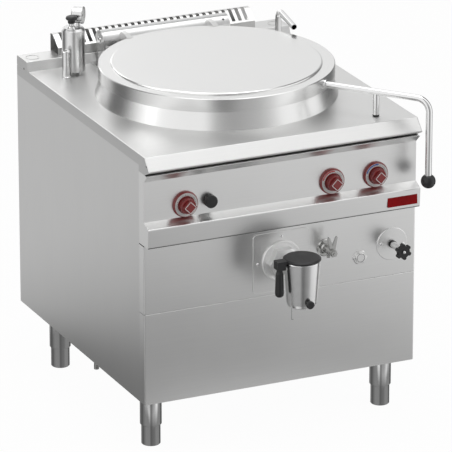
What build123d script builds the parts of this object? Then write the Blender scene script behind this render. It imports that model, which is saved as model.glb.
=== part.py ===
from build123d import *
from math import atan2, cos, degrees, hypot, pi, radians, sin, sqrt
import os

# A gas heated, steam jacketed boiling pan on a cabinet with four adjustable feet.
# Millimetres, +Z up, the operator stands at -Y. While it is built, the pan's own axis
# is x = 0, y = 0, and the last lines move everything so that the origin is the middle
# of the four feet on the floor.

# cabinet
width = 800.0
depth = 900.0
worktop_height = 850.0
leg_height = 150.0
sheet = 1.5                   # cabinet sheet
top_sheet = 2.0               # worktop sheet
panel_setback = 38.0          # front panels behind the tip of the worktop
front_wrap = 30.0             # depth of the front panels' sides
fold = 15.0                   # edges folded inwards
bend = 3.0                    # radius on the outside of a fold
seam = 1.0                    # gap between the two front panels
joint_gap = 0.3               # between parts that move and what they rest on

# worktop nose
bevel_depth = 31.5
bevel_drop = 33.0
undercut_depth = 29.0
undercut_drop = 14.0
worktop_skirt = 30.0

# control section
brow_gap = 1.2                # lip over the controls, below the end of the nose
brow_reach = 14.0
brow_fall = 22.0
lean_drop = 182.5             # where the recessed panel starts to lean out
lean_height = 12.5
band_reach = 29.0
band_rake = 3.0
band_height = 53.0
band_gap = 3.0
return_depth = 46.0           # edge turned back under the band

# rear ledge and flue
ledge_depth = 80.0
ledge_height = 26.0
ledge_slope = 11.0
ledge_cap_radius = 19.0
ledge_cap_inset = 31.0
grille_margin = 100.0         # from each side of the cabinet
grille_front_gap = 23.0       # from the foot of the ledge to the grille
grille_back_gap = 2.0
grille_base = 23.0
grille_height = 52.0
grille_crest = 18.0
grille_round = 5.0
slot_share = 0.52             # of the pitch
slot_count = 29
slot_margin = 4.0
slot_inset = 13.0
duct_share = 0.3              # of the cabinet's width
duct_depth = 60.0
vent_rows = 5
vent_share = 0.525            # place of the rear vents, of half the width
vent_length = 120.0
vent_pitch = 22.0

# frame and legs
beam_width = 40.0
beam_height = 40.0
beam_wall = 2.5
leg_plate = 3.0
leg_plate_size = 78.0
feet_side_inset = 56.0
feet_front_inset = 126.0
feet_rear_inset = 150.0
sleeve_radius = 29.5
foot_radius = 26.0
foot_height = 57.7
foot_stem_radius = 20.0
foot_stem_gap = 14.3          # from the stem to the top of the leg
running_gap = 0.05            # radial clearance of a shaft in its hole

# pan, jacket and burner
pan_side_margin = 100.0       # from the pan to the sides of the cabinet
pan_front_margin = 150.0
pan_wall = 3.0
pan_knuckle = 50.0
rim_width = 16.0
collar_height = 51.0
collar_flare = 15.0
jacket_space = 35.0
jacket_floor_space = 44.0
jacket_wall = 3.0
jacket_knuckle = 60.0
jacket_drop = 20.0            # top of the jacket below the worktop
insulation_thickness = 24.0
chamber_margin = 6.0          # inside the jacket's flat floor
chamber_wall = 2.0
burner_share = 0.4            # of the chamber's radius
burner_height = 28.0
burner_place = 0.61           # top of the burner between the frame and the jacket
flue_place = 0.55             # floor of the flue, likewise
venturi_radius = 20.0
venturi_flare = 8.0
venturi_reach = 45.0          # in front of the chamber
port_radius = 3.0

# lid
lid_margin = 22.0             # beyond the inside of the pan
lid_sheet = 1.5
lid_skirt = 37.0
lid_disc_margin = 35.0
lid_disc_rise = 4.5
lid_overlap = 5.0             # skirt reaches this far below the pan's rim
liner_ring_gap = 9.0          # drip ring inside the pan
liner_ring_depth = 9.0

# lid hinge
hinge_setback = 33.0          # behind the edge of the lid
hinge_rise = 68.0             # hinge axis above the worktop
barrel_radius = 29.0
barrel_share = 0.576          # of the lid's diameter
barrel_wall = 3.0
barrel_end = 6.0
bar_radius = 10.0
bracket_thickness = 6.0
bracket_foot = 42.0
bracket_flange = 22.0
arm_share = 0.404             # spacing of the arms, of the lid's diameter
arm_width = 16.0
arm_reach = 75.0
arm_crest = 7.0               # above the lid
arm_round = 14.0

# lid handle
handle_angle = -50.3
handle_radius = 9.0
handle_reach = 306.0          # beyond the lid
handle_height = 67.5          # above the worktop
handle_bend = 36.0
ball_radius = 20.0
ball_drop = 229.5
post_reach = 151.0
post_radius = 8.5
post_foot = 4.0
post_foot_radius = 9.2
boss_length = 18.0

# water spout
spout_side_inset = 88.0
spout_rear_inset = 182.0
spout_radius = 8.5
spout_bore = 7.0
spout_rise = 116.0
spout_reach = 120.0
spout_swerve = 8.0
spout_tip_rise = 100.0
spout_bend = 22.0
socket_height = 16.0
socket_radius = 15.0

# safety valve group
safety_side_inset = 114.0
safety_rear_inset = 132.0
safety_radius = 32.0
safety_base = 7.0
safety_height = 130.0
relief_side = 36.5            # from the safety valve's axis, to the left and to the front
relief_front = 34.0
relief_radius = 11.5
relief_height = 77.0
pull_side = 13.0
pull_front = 19.0
pull_base = 13.0
pull_cone = 10.0
pull_height = 18.7
pull_knob_radius = 16.0
gauge_angle = -37.0           # the dial looks this way, seen from above, 0 is +X
gauge_radius = 24.0
gauge_depth = 30.0
gauge_rise = 159.0
gauge_side = 20.0             # from the safety valve's axis, to the right and to the rear
gauge_rear = 12.0
vent_radius = 7.0
vent_inset = 26.0
vent_y = -27.0
vent_end = 112.0

# front fittings
tap_reach = 129.0             # tap axis in front of the panel
tap_plate_size = 168.0
tap_plate_corner = 12.0
tap_plate_gap = 15.0          # below the band
seam_gap = 9.0                # below the plate
tap_screw_share = 0.417       # of the plate
tap_flange_share = 0.345
tap_nut_depth = 28.0
outlet_rise = 16.0            # tap axis above the pan's floor
tap_nut_flats = 78.0
tap_pipe_radius = 26.0
tap_bore = 20.0
tap_top_radius = 49.0
tap_low_radius = 41.0
tap_height = 130.0
tap_below = 85.0              # bottom of the tap below its inlet
plug_radius = 37.5
tap_outlet = 22.0
tap_outlet_length = 16.0
cap_radius = 51.0
cap_height = 8.0
grip_reach = 66.0
grip_radius = 12.0
grip_length = 74.0
peg_radius = 11.0
level_gap = 46.0              # from the tap plate
level_rise = 17.0             # above the tap's axis
level_pipe = 7.0
level_flange = 24.5
level_length = 38.0
level_taper = 14.0
level_wing = 47.0
level_tilt = 15.0
fill_share = 0.52             # of the way from the level cock to the drain
fill_drop = 27.0
fill_pipe = 12.0
fill_flats = 36.0
drain_share = 0.825           # of half the width
drain_drop = 3.0
drain_pipe = 11.0
drain_stem = 6.0
drain_disc = 2.5
drain_disc_radius = 46.0
drain_tube = 9.0
drain_tail = 46.0
drain_elbow = 36.0
drain_fall = 60.0
drain_reach = 75.0
star_radius = 23.0
star_depth = 12.0
star_lobes = 6
star_start = 97.0
screw_radius = 2.0

# controls
knob_drop = 147.0             # below the worktop
gas_knob_inset = 119.0        # from the left side
igniter_offset = 70.0         # from the gas control
hot_knob_inset = 252.0        # from the right side
cold_knob_inset = 122.0
knob_ring_radius = 36.0
knob_ring_depth = 9.0
knob_hub_radius = 22.0
knob_hub_depth = 26.0
knob_nose = 28.0
knob_depth = 37.0
spindle_radius = 5.0
spindle_length = 24.0
igniter_radius = 17.5
igniter_travel = 5.0
igniter_stem = 4.0
igniter_bush_radius = 13.0

# behind the panels
valve_radius = 18.0
valve_middle = 32.0
valve_neck = 14.0
valve_neck_radius = 9.0
valve_length = 50.0
valve_stub = 6.0
pipe_radius = 7.0
pipe_gap = 28.0
pipe_rise = 32.0              # lowest run above the frame
pipe_step = 20.0              # next run above it
pipe_elbow = 16.0
inlet_radius = 10.48
inlet_length = 26.0
inlet_inset = 50.0
socket_tail = 10.0
socket_tail_length = 32.0
ball_seat = 16.0
gauge_stem = 5.5
gauge_pin = 1.2
pull_stem = 3.0

# places worked out from the sizes above
half = width / 2
nose_tip = -depth / 2
rear = depth / 2
top = worktop_height
panel_y = nose_tip + panel_setback
wrap_y = panel_y + front_wrap
nose_low = top - bevel_drop - undercut_drop
brow_y = nose_tip + undercut_depth
lean_z = top - lean_drop
band_y = panel_y - band_reach
band_top = lean_z - lean_height
band_bottom = band_top - band_height
panel_top = band_bottom - band_gap
tap_z = panel_top - tap_plate_gap - tap_plate_size / 2
seam_height = tap_z - tap_plate_size / 2 - seam_gap
ledge_front = rear - ledge_depth
ledge_top = top + ledge_height
grille_length = width - 2 * grille_margin
duct_width = width * duct_share
slot_pitch = (grille_length - 2 * slot_inset) / slot_count
slot_width = slot_pitch * slot_share
feet_front_y = nose_tip + feet_front_inset
feet_rear_y = rear - feet_rear_inset
rim_z = top + collar_height + pan_wall
pan_floor = tap_z - outlet_rise
pan_radius = min(half - pan_side_margin, rear - pan_front_margin)
pan_outer = pan_radius + pan_wall
outlet_end = pan_knuckle - pan_radius - 5
jacket_radius = pan_outer + jacket_space + jacket_wall
jacket_top = top - jacket_drop
jacket_floor = pan_floor - pan_wall - jacket_floor_space
insulation_radius = jacket_radius + joint_gap + insulation_thickness
leg_x = half - feet_side_inset
beam_low = leg_height + leg_plate
beam_top = beam_low + beam_height
chamber_radius = jacket_radius - jacket_knuckle - chamber_margin
burner_radius = chamber_radius * burner_share
burner_top = beam_top + (jacket_floor - beam_top) * burner_place
burner_mid = burner_top - burner_height / 2
flue_floor = beam_top + (jacket_floor - beam_top) * flue_place
lid_radius = pan_radius + lid_margin
lid_disc_radius = lid_radius - lid_disc_margin
liner_ring_radius = pan_radius - liner_ring_gap
hinge_y = lid_radius + hinge_setback
barrel_length = 2 * lid_radius * barrel_share
arm_spacing = 2 * lid_radius * arm_share
hinge_z = top + hinge_rise
lid_low = rim_z - lid_overlap
lid_top = lid_low + lid_skirt
handle_z = top + handle_height
knob_z = top - knob_drop
tap_y = panel_y - tap_reach
tap_floor = tap_z - tap_below
tap_rim = tap_floor + tap_height
tap_screw_circle = tap_plate_size * tap_screw_share
tap_flange_radius = tap_plate_size * tap_flange_share
level_x = tap_plate_size / 2 + level_gap
level_z = tap_z + level_rise
drain_x = half * drain_share
drain_z = tap_z - drain_drop
fill_x = level_x + (drain_x - level_x) * fill_share
fill_z = tap_z - fill_drop
gas_knob_x = gas_knob_inset - half
igniter_x = gas_knob_x + igniter_offset
hot_knob_x = half - hot_knob_inset
cold_knob_x = half - cold_knob_inset
spout_x = half - spout_side_inset
spout_y = rear - spout_rear_inset
safety_x = safety_side_inset - half
safety_y = rear - safety_rear_inset
relief_x = safety_x - relief_side
relief_y = safety_y - relief_front
pull_x = safety_x - pull_side
pull_y = safety_y - pull_front
gauge_x = safety_x + gauge_side
gauge_y = safety_y + gauge_rear
vent_x = vent_inset - half
grip_side = -1.0              # the tap's grip hangs on the left


def block(x0, x1, y0, y1, z0, z1):
    middle = Pos((x0 + x1) / 2, (y0 + y1) / 2, (z0 + z1) / 2)
    return middle * Box(abs(x1 - x0), abs(y1 - y0), abs(z1 - z0))


def upright(radius, z0, z1, x=0.0, y=0.0):
    return Pos(x, y, (z0 + z1) / 2) * Cylinder(radius, abs(z1 - z0))


def along_y(radius, y0, y1, x, z):
    return Pos(x, (y0 + y1) / 2, z) * Rot(90, 0, 0) * Cylinder(radius, abs(y1 - y0))


def along_x(radius, x0, x1, y, z):
    return Pos((x0 + x1) / 2, y, z) * Rot(0, 90, 0) * Cylinder(radius, abs(x1 - x0))


def turned(points, x=0.0, y=0.0):
    """Solid of revolution about an upright axis, from (radius, height) points."""
    outline = Plane.XZ * make_face(Polyline(*points, close=True))
    return Pos(x, y, 0) * revolve(outline, Axis.Z)


def turned_forward(points, x, z):
    """Solid of revolution about an axis along Y, from (radius, y) points."""
    return Pos(x, 0, z) * Rot(90, 0, 0) * turned([(r, -y) for r, y in points])


def across(points, x0, x1):
    """A (y, z) outline drawn out along X."""
    outline = Plane.YZ * Polygon(*points, align=None)
    return Pos((x0 + x1) / 2, 0, 0) * extrude(outline, amount=(x1 - x0) / 2, both=True)


def folded(points, thickness):
    """Outline of a folded sheet: its outer side follows the points, the sheet lies to their left."""
    inner = []
    for i, (y, z) in enumerate(points):
        sides = []
        for a, b in ((i - 1, i), (i, i + 1)):
            if a >= 0 and b < len(points):
                run = (points[b][0] - points[a][0], points[b][1] - points[a][1])
                sides.append((-run[1] / hypot(*run), run[0] / hypot(*run)))
        total = (sum(s[0] for s in sides), sum(s[1] for s in sides))
        share = thickness
        if len(sides) == 2:
            share = thickness / (1 + sides[0][0] * sides[1][0] + sides[0][1] * sides[1][1])
        inner.append((y + total[0] * share, z + total[1] * share))
    return list(points) + inner[::-1]


def edges_along_x(shape, *corners):
    return [e for e in shape.edges().filter_by(Axis.X)
            for y, z in corners if hypot(e.center().Y - y, e.center().Z - z) < 0.01]


def rounded(shape, *corners, radius=bend):
    """Rounds the edges along X that pass through the given (y, z) corners."""
    return fillet(edges_along_x(shape, *corners), radius)


def pipe(points, elbow, radius, bore=0.0):
    path = FilletPolyline(*points, radius=elbow)
    start = Plane(origin=path @ 0, z_dir=path % 0)
    ring = start * Circle(radius)
    if bore:
        ring -= start * Circle(bore)
    return sweep(ring, path=path)


def hexagon(flats, y0, y1, x, z):
    shape = RegularPolygon(flats / 2, 6, major_radius=False)
    return Pos(x, (y0 + y1) / 2, z) * Rot(90, 0, 0) * extrude(shape, amount=abs(y1 - y0) / 2, both=True)


def make_base_frame():
    inside = half - sheet
    beams = []
    for y in (feet_front_y, feet_rear_y):
        beams.append(block(-inside, inside, y - beam_width / 2, y + beam_width / 2, beam_low, beam_top)
                     - block(-inside, inside, y - beam_width / 2 + beam_wall, y + beam_width / 2 - beam_wall,
                             beam_low + beam_wall, beam_top - beam_wall))
    y0 = feet_front_y + beam_width / 2
    y1 = feet_rear_y - beam_width / 2
    for x in (-leg_x, leg_x):
        beams.append(block(x - beam_width / 2, x + beam_width / 2, y0, y1, beam_low, beam_top)
                     - block(x - beam_width / 2 + beam_wall, x + beam_width / 2 - beam_wall, y0, y1,
                             beam_low + beam_wall, beam_top - beam_wall))
    reach = leg_x - beam_width / 2
    for y in (-chamber_radius * 0.55, chamber_radius * 0.55):
        beams.append(block(-reach, reach, y - beam_width / 2, y + beam_width / 2, beam_low, beam_top)
                     - block(-reach, reach, y - beam_width / 2 + beam_wall, y + beam_width / 2 - beam_wall,
                             beam_low + beam_wall, beam_top - beam_wall))
    pad = leg_plate_size / 2
    for x in (-leg_x, leg_x):
        for y in (feet_front_y, feet_rear_y):
            beams.append(block(x - pad, x + pad, y - pad, y + pad, leg_height, beam_low))
    return Compound(beams)


def make_leg_sleeves():
    sleeves = []
    for x in (-leg_x, leg_x):
        for y in (feet_front_y, feet_rear_y):
            z0 = foot_height + joint_gap
            z1 = leg_height
            wall = sleeve_radius
            bore = foot_stem_radius + running_gap
            outline = [(bore, z0), (wall - 1, z0), (wall, z0 + 1), (wall, z1), (0, z1), (0, z1 - 4),
                       (bore, z1 - 4)]
            sleeves.append(turned(outline, x, y))
    return Compound(sleeves)


def make_foot(x, y):
    rim = foot_radius - 2
    stem = foot_stem_radius
    crown = leg_height - foot_stem_gap
    outline = [(0, 0), (rim, 0), (foot_radius, 2), (foot_radius, foot_height - 1.5),
               (foot_radius - 1.5, foot_height),
               (stem, foot_height), (stem, crown), (0, crown)]
    return turned(outline, x, y)


def make_side_panel(side):
    z1 = top - worktop_skirt
    skin = block(half - sheet, half, wrap_y, rear, leg_height, z1)
    skin += block(half - fold, half - sheet, wrap_y, wrap_y + sheet, leg_height, z1)
    skin += block(half - fold, half - sheet, wrap_y + sheet, rear - sheet, leg_height, leg_height + sheet)
    return skin if side > 0 else mirror(skin, about=Plane.YZ)


def make_rear_panel():
    plate = block(-half + sheet, half - sheet, rear - sheet, rear, leg_height, top - worktop_skirt)
    for row in range(vent_rows):
        z = top - worktop_skirt - (row + 4) * vent_pitch
        for x in (-half * vent_share, half * vent_share):
            plate -= block(x - vent_length / 2, x + vent_length / 2, rear - 2 * sheet, rear + sheet,
                           z - 3, z + 3)
    return plate


def front_tray(z0, z1):
    """Front panel with its edges turned back round the cabinet."""
    tray = block(-half, half, panel_y, wrap_y, z0, z1)
    tray -= block(-half + sheet, half - sheet, panel_y + sheet, wrap_y + 1, z0 + sheet, z1 - sheet)
    tray -= block(-half + sheet, half - sheet, panel_y + fold, wrap_y + 1, z0 - 1, z1 + 1)
    return fillet([e for e in tray.edges().filter_by(Axis.Z) if abs(e.center().Y - panel_y) < 0.01], bend)


def make_front_panel_upper():
    tray = front_tray(seam_height + seam / 2, panel_top)
    tray -= along_y(tap_pipe_radius + 2, panel_y - 1, panel_y + sheet + 1, 0, tap_z)
    tray -= along_y(level_pipe + joint_gap, panel_y - 1, panel_y + sheet + 1, level_x, level_z)
    tray -= along_y(fill_pipe + joint_gap, panel_y - 1, panel_y + sheet + 1, fill_x, fill_z)
    tray -= along_y(drain_pipe + joint_gap, panel_y - 1, panel_y + sheet + 1, drain_x, drain_z)
    return tray


def make_front_panel_lower():
    return front_tray(leg_height, seam_height - seam / 2)


def make_control_panel():
    high = nose_low - brow_gap
    line = [(brow_y, high), (brow_y - brow_reach, high - 0.5), (panel_y, high - brow_fall),
            (panel_y, lean_z),
            (band_y, band_top), (band_y + band_rake, band_bottom)]
    skin = across(folded(line + [(band_y + band_rake + return_depth, band_bottom)], sheet), -half, half)
    ends = [(wrap_y, nose_low - joint_gap), (brow_y, nose_low - joint_gap)] + line + [(wrap_y, band_bottom)]
    skin += across(ends, -half, -half + sheet)
    skin += across(ends, half - sheet, half)
    skin = rounded(skin, (band_y, band_top), radius=bend + 1)
    skin = rounded(skin, (band_y + band_rake, band_bottom))
    for x in (gas_knob_x, hot_knob_x, cold_knob_x):
        skin -= along_y(spindle_radius + 1, panel_y - 1, panel_y + sheet + 1, x, knob_z)
    skin -= along_y(igniter_stem + 4, panel_y - 1, panel_y + sheet + 1, igniter_x, knob_z)
    return skin


def make_worktop():
    tip = top - bevel_drop
    under = (nose_tip + undercut_depth, tip - undercut_drop)
    line = [(rear, top - worktop_skirt), (rear, top), (nose_tip + bevel_depth, top), (nose_tip, tip), under]
    plate = across(folded(line, top_sheet), -half, half)
    ends = [(rear, top - worktop_skirt), (rear, top), (nose_tip + bevel_depth, top), (nose_tip, tip), under,
            (wrap_y, tip - undercut_drop), (wrap_y, top - worktop_skirt)]
    plate += across(ends, -half, -half + top_sheet)
    plate += across(ends, half - top_sheet, half)
    sides = []
    for (y0, z0), (y1, z1) in zip(line[1:], line[2:-1]):
        sides += [e for e in plate.edges() if abs(abs(e.center().X) - half) < 0.01
                  and hypot(e.center().Y - (y0 + y1) / 2, e.center().Z - (z0 + z1) / 2) < 0.01]
    plate = fillet(edges_along_x(plate, *line[1:-1]) + sides, bend)
    plate -= upright(pan_outer + joint_gap, top - 2 * top_sheet, top + 1)
    plate -= block(-duct_width / 2, duct_width / 2, duct_front(), duct_front() + duct_depth,
                   top - 2 * top_sheet, top + 1)
    plate -= upright(socket_tail + joint_gap, top - 2 * top_sheet, top + 1, spout_x, spout_y)
    plate -= upright(vent_radius + joint_gap, top - 2 * top_sheet, top + 1, safety_x, safety_y)
    return plate


def duct_front():
    return rear - top_sheet - joint_gap - duct_depth


def make_rear_ledge():
    line = [(rear, top), (rear, ledge_top), (ledge_front + ledge_slope, ledge_top), (ledge_front, top)]
    ledge = across(folded(line, sheet), -half, half)
    for x0, x1 in ((-half, -half + sheet), (half - sheet, half)):
        ledge += across(line, x0, x1)
    ledge = rounded(ledge, (ledge_front + ledge_slope, ledge_top), (rear, ledge_top))
    ledge -= block(-half, half, ledge_front - 5, rear, top - 5, top)
    y0 = ledge_front + grille_front_gap + 2 * sheet
    ledge -= block(-grille_length / 2 + 6, grille_length / 2 - 6, y0, rear - grille_back_gap - 2 * sheet,
                   ledge_top - 2 * sheet, ledge_top + 1)
    for x in (-half + ledge_cap_inset, half - ledge_cap_inset):
        y = (ledge_front + ledge_slope + rear) / 2 - 2
        ring = upright(ledge_cap_radius, ledge_top - sheet, ledge_top + 0.8, x, y)
        ledge += ring - upright(ledge_cap_radius - 1.6, ledge_top, ledge_top + 1, x, y)
    return ledge


def make_flue_grille():
    """Bent cover with slots that run up its slope and over the crest."""
    y0 = ledge_front + grille_front_gap
    y1 = rear - grille_back_gap
    crest = ledge_top + grille_height
    line = [(y1, ledge_top), (y1, crest), (y1 - grille_crest, crest), (y0, ledge_top + grille_base),
            (y0, ledge_top)]
    length = grille_length / 2
    cover = across(folded(line, sheet), -length, length)
    edges = [e for e in cover.edges().filter_by(Axis.X) if abs(e.center().Z - crest) < 0.1]
    cover = fillet(edges, grille_round)
    low = ledge_top + grille_base + slot_margin
    first = -slot_pitch * (slot_count - 1) / 2
    slots = [block(first + i * slot_pitch - slot_width / 2, first + i * slot_pitch + slot_width / 2,
                   y0 - 1, y1 - grille_crest / 2, low, crest + 1) for i in range(slot_count)]
    return cover - slots


def make_flue_duct():
    y0 = duct_front()
    y1 = y0 + duct_depth
    z0 = flue_floor
    z1 = top - top_sheet
    outer = block(-duct_width / 2, duct_width / 2, y0, y1, z0, z1)
    outer += block(-duct_width / 2, duct_width / 2, 0, y0 + sheet, z0, jacket_floor - 10)
    inner = block(-duct_width / 2 + sheet, duct_width / 2 - sheet, y0 + sheet, y1 - sheet, z0 + sheet,
                  z1 + 1)
    inner += block(-duct_width / 2 + sheet, duct_width / 2 - sheet, 0, y0 + 2 * sheet, z0 + sheet,
                   jacket_floor - 10 - sheet)
    return outer - inner - upright(chamber_radius, z0 - 1, jacket_floor)


def vessel(radius, high, low, knuckle):
    """Round pot, filled, with a rounded edge at its floor."""
    outline = Polygon((0, low), (radius, low), (radius, high), (0, high), align=None)
    corner = outline.vertices().sort_by(Axis.X)[-2:].sort_by(Axis.Y)[0]
    return revolve(Plane.XZ * fillet(corner, knuckle), Axis.Z)


def make_pan():
    body = vessel(pan_outer, rim_z, pan_floor - pan_wall, pan_knuckle + pan_wall)
    body += upright(pan_radius + rim_width, rim_z - pan_wall, rim_z)
    body -= vessel(pan_radius, rim_z + 1, pan_floor, pan_knuckle)
    return body - along_y(tap_bore, -pan_outer - 1, outlet_end, 0, tap_z)


def make_pan_outlet():
    """Pipe from the pan's wall through the front, welded on at floor height."""
    tube = along_y(tap_pipe_radius, panel_y - tap_nut_depth / 2, outlet_end + 5, 0, tap_z)
    tube -= along_y(tap_bore, panel_y - tap_nut_depth, outlet_end, 0, tap_z)
    return tube - vessel(pan_outer, rim_z, pan_floor - pan_wall, pan_knuckle + pan_wall)


def make_collar():
    base = pan_radius + rim_width + collar_flare
    neck = pan_radius + rim_width
    high = rim_z - pan_wall
    inner = pan_outer + joint_gap
    t = top_sheet
    outline = [(base, top), (neck, high), (inner, high), (inner, high - t), (neck - t, high - t),
               (base - t, top)]
    return turned(outline)


def make_steam_jacket():
    shell = vessel(jacket_radius, jacket_top, jacket_floor, jacket_knuckle)
    shell -= vessel(jacket_radius - jacket_wall, jacket_top - jacket_wall, jacket_floor + jacket_wall,
                    jacket_knuckle - jacket_wall)
    shell -= upright(pan_outer + joint_gap, jacket_top - 2 * jacket_wall, jacket_top + 1)
    for radius, x, z in front_pipes():
        shell -= along_y(radius + joint_gap, panel_y, 0, x, z)
    return shell


def front_pipes():
    """Pipes that reach the jacket from the front: (radius, x, z)."""
    return [(tap_pipe_radius, 0, tap_z), (level_pipe, level_x, level_z), (fill_pipe, fill_x, fill_z)]


def make_insulation():
    low = jacket_floor + jacket_knuckle
    blanket = upright(insulation_radius, low, jacket_top) - upright(jacket_radius + joint_gap, low - 1,
                                                                    jacket_top + 1)
    for radius, x, z in front_pipes():
        blanket -= along_y(radius + 4, panel_y, 0, x, z)
    return blanket


def make_combustion_chamber():
    wall = upright(chamber_radius, beam_top, jacket_floor)
    wall -= upright(chamber_radius - chamber_wall, beam_top + chamber_wall, jacket_floor + 1)
    wall -= along_y(venturi_radius + 2, -chamber_radius - 5, 0, 0, burner_mid)
    z0 = flue_floor + sheet
    wall -= block(-duct_width / 2 + sheet, duct_width / 2 - sheet, 0, chamber_radius + 5, z0,
                  jacket_floor - 10 - sheet)
    for i in range(6):
        angle = radians(60 * i + 30)
        reach = chamber_radius * 0.62
        wall -= upright(18, beam_top - 1, beam_top + chamber_wall + 1, reach * cos(angle),
                        reach * sin(angle))
    return wall


def make_burner():
    high = burner_top
    low = high - burner_height
    rim = burner_height / 5
    head = turned([(0, low), (burner_radius * 0.8, low), (burner_radius, low + 2 * rim),
                   (burner_radius, high - rim), (burner_radius - rim, high), (0, high)])
    post = upright(burner_height / 2, beam_top + chamber_wall, low)
    end = -chamber_radius - venturi_reach
    mouth = venturi_radius + venturi_flare
    inside = -burner_radius / 2
    tube = turned_forward([(0, end), (mouth, end), (mouth, end + venturi_flare),
                           (venturi_radius, end + 3 * venturi_flare), (venturi_radius, inside), (0, inside)],
                          0, burner_mid)
    ports = []
    for share, count in ((0.87, 24), (0.69, 16)):
        away = burner_radius * share
        for i in range(count):
            angle = 2 * pi * i / count
            ports.append(upright(port_radius, high - 4, high + 1, away * cos(angle), away * sin(angle)))
    return head + post + tube - ports


def make_valve_bodies():
    bodies = []
    for x in (gas_knob_x, hot_knob_x, cold_knob_x):
        y0 = panel_y + sheet
        body = along_y(valve_radius, y0 + valve_neck, y0 + valve_length, x, knob_z)
        body += along_y(valve_neck_radius, y0, y0 + valve_neck, x, knob_z)
        reach = valve_radius + valve_stub
        body += upright(valve_neck_radius, knob_z - reach, knob_z + reach, x, y0 + valve_middle)
        body -= along_y(spindle_radius + running_gap, y0 - 1, y0 + spindle_length + 2, x, knob_z)
        bodies.append(body)
    return Compound(bodies)


def make_gas_pipe():
    y = panel_y + sheet + valve_middle
    x = gas_knob_x - 7 * pipe_radius
    reach = valve_radius + valve_stub
    low_run = beam_top + pipe_rise
    high_run = knob_z + reach + 3 * pipe_radius + 1
    rear_y = rear - inlet_inset
    supply = pipe([(x, rear_y, vent_end), (x, rear_y, low_run), (x, y, low_run), (x, y, high_run),
                   (gas_knob_x, y, high_run), (gas_knob_x, y, knob_z + reach)], pipe_elbow - 1, pipe_radius)
    nipple = upright(inlet_radius, vent_end, vent_end + inlet_length, x, rear_y)
    feed = pipe([(gas_knob_x, y, knob_z - reach), (gas_knob_x, y, burner_mid), (0, y, burner_mid),
                 (0, -chamber_radius - venturi_reach, burner_mid)], pipe_elbow - 2, pipe_radius)
    return Compound([supply + nipple, feed])


def make_water_pipes():
    """Hot and cold feeds, the pipe up to the spout, and the pipe for the safety valve's steam."""
    y = panel_y + sheet + valve_middle
    r = pipe_radius - 1
    low = knob_z - valve_radius - valve_stub
    high = knob_z + valve_radius + valve_stub
    side = half - fold - pipe_radius - 1
    inner = side - pipe_gap
    beside_drain = drain_x + drain_pipe + pipe_radius + 1
    rear_y = rear - inlet_inset
    low_run = beam_top + pipe_rise
    next_run = low_run + pipe_step
    under = low - 5 * pipe_step + 5
    over = under + 2 * pipe_step
    hot = pipe([(inner, rear_y, vent_end), (inner, rear_y, low_run), (beside_drain, y, low_run),
                (beside_drain, y, under), (hot_knob_x, y, under), (hot_knob_x, y, low)], pipe_elbow, r)
    hot += upright(inlet_radius, vent_end, vent_end + inlet_length, inner, rear_y)
    cold = pipe([(side, rear_y, vent_end), (side, rear_y, next_run), (side, y, next_run), (side, y, over),
                 (cold_knob_x, y, over), (cold_knob_x, y, low)], pipe_elbow, r)
    cold += upright(inlet_radius, vent_end, vent_end + inlet_length, side, rear_y)
    run = jacket_top - 3 * pipe_step
    out = pipe([(hot_knob_x, y, high), (hot_knob_x, y, run), (side, y, run), (side, spout_y, run),
                (spout_x, spout_y, run), (spout_x, spout_y, top - socket_tail_length)], pipe_elbow, r)
    out += upright(r, high, run, cold_knob_x, y)
    vent_top = jacket_top - 2 * pipe_step
    vent_run = next_run + pipe_step
    vent = pipe([(safety_x, safety_y, top), (safety_x, safety_y, vent_top), (vent_x, safety_y, vent_top),
                 (vent_x, safety_y, vent_run), (vent_x, vent_y, vent_run), (vent_x, vent_y, vent_end)],
                pipe_elbow, vent_radius)
    return Compound([hot, cold, out, vent])


def make_lid_shell():
    t = lid_sheet
    rise = lid_top + lid_disc_rise
    r0 = lid_disc_radius
    outline = [(0, rise), (r0 - 3, rise), (r0, rise - 1.5), (r0 + 1, lid_top), (lid_radius - 2, lid_top),
               (lid_radius, lid_top - 2), (lid_radius, lid_low), (lid_radius - t, lid_low),
               (lid_radius - t, lid_top - t), (r0 - t, lid_top - t), (r0 - 2 - t, rise - t), (0, rise - t)]
    return turned(outline)


def make_lid_liner():
    """Inner sheet of the lid, with the drip ring that hangs inside the pan."""
    t = lid_sheet
    z = rim_z + 2.0
    edge = lid_radius - t
    seat = pan_radius + 4
    ring = liner_ring_radius
    outline = [(0, z), (ring - t, z), (ring - t, z - liner_ring_depth), (ring, z - liner_ring_depth),
               (ring, z),
               (seat, z), (seat, rim_z + joint_gap), (seat + 6, rim_z + joint_gap), (seat + 6, z), (edge, z),
               (edge, z + 9), (edge - t, z + 9), (edge - t, z + t), (0, z + t)]
    return turned(outline)


def make_lid_arms():
    """Two gussets between the lid's rear edge and the hinge barrel, rounded on top."""
    arms = []
    crest = lid_top + arm_crest
    y0 = hinge_y - arm_reach
    for x in (-arm_spacing / 2, arm_spacing / 2):
        shape = across([(y0, lid_low + 6), (hinge_y, lid_low + 6), (hinge_y, hinge_z + 8),
                        (hinge_y - arm_reach / 4, crest),
                        (y0 + arm_reach * 0.4, crest), (y0 + 6, lid_top + 1)], x - arm_width / 2,
                        x + arm_width / 2)
        shape = fillet([e for e in shape.edges().filter_by(Axis.X) if e.center().Z > crest - 1], arm_round)
        shape -= along_x(barrel_radius, x - arm_width, x + arm_width, hinge_y, hinge_z)
        shape -= upright(lid_radius, lid_low - 1, lid_top)
        arms.append(shape.solids().sort_by(SortBy.VOLUME)[-1])
    return Compound(arms)


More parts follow.
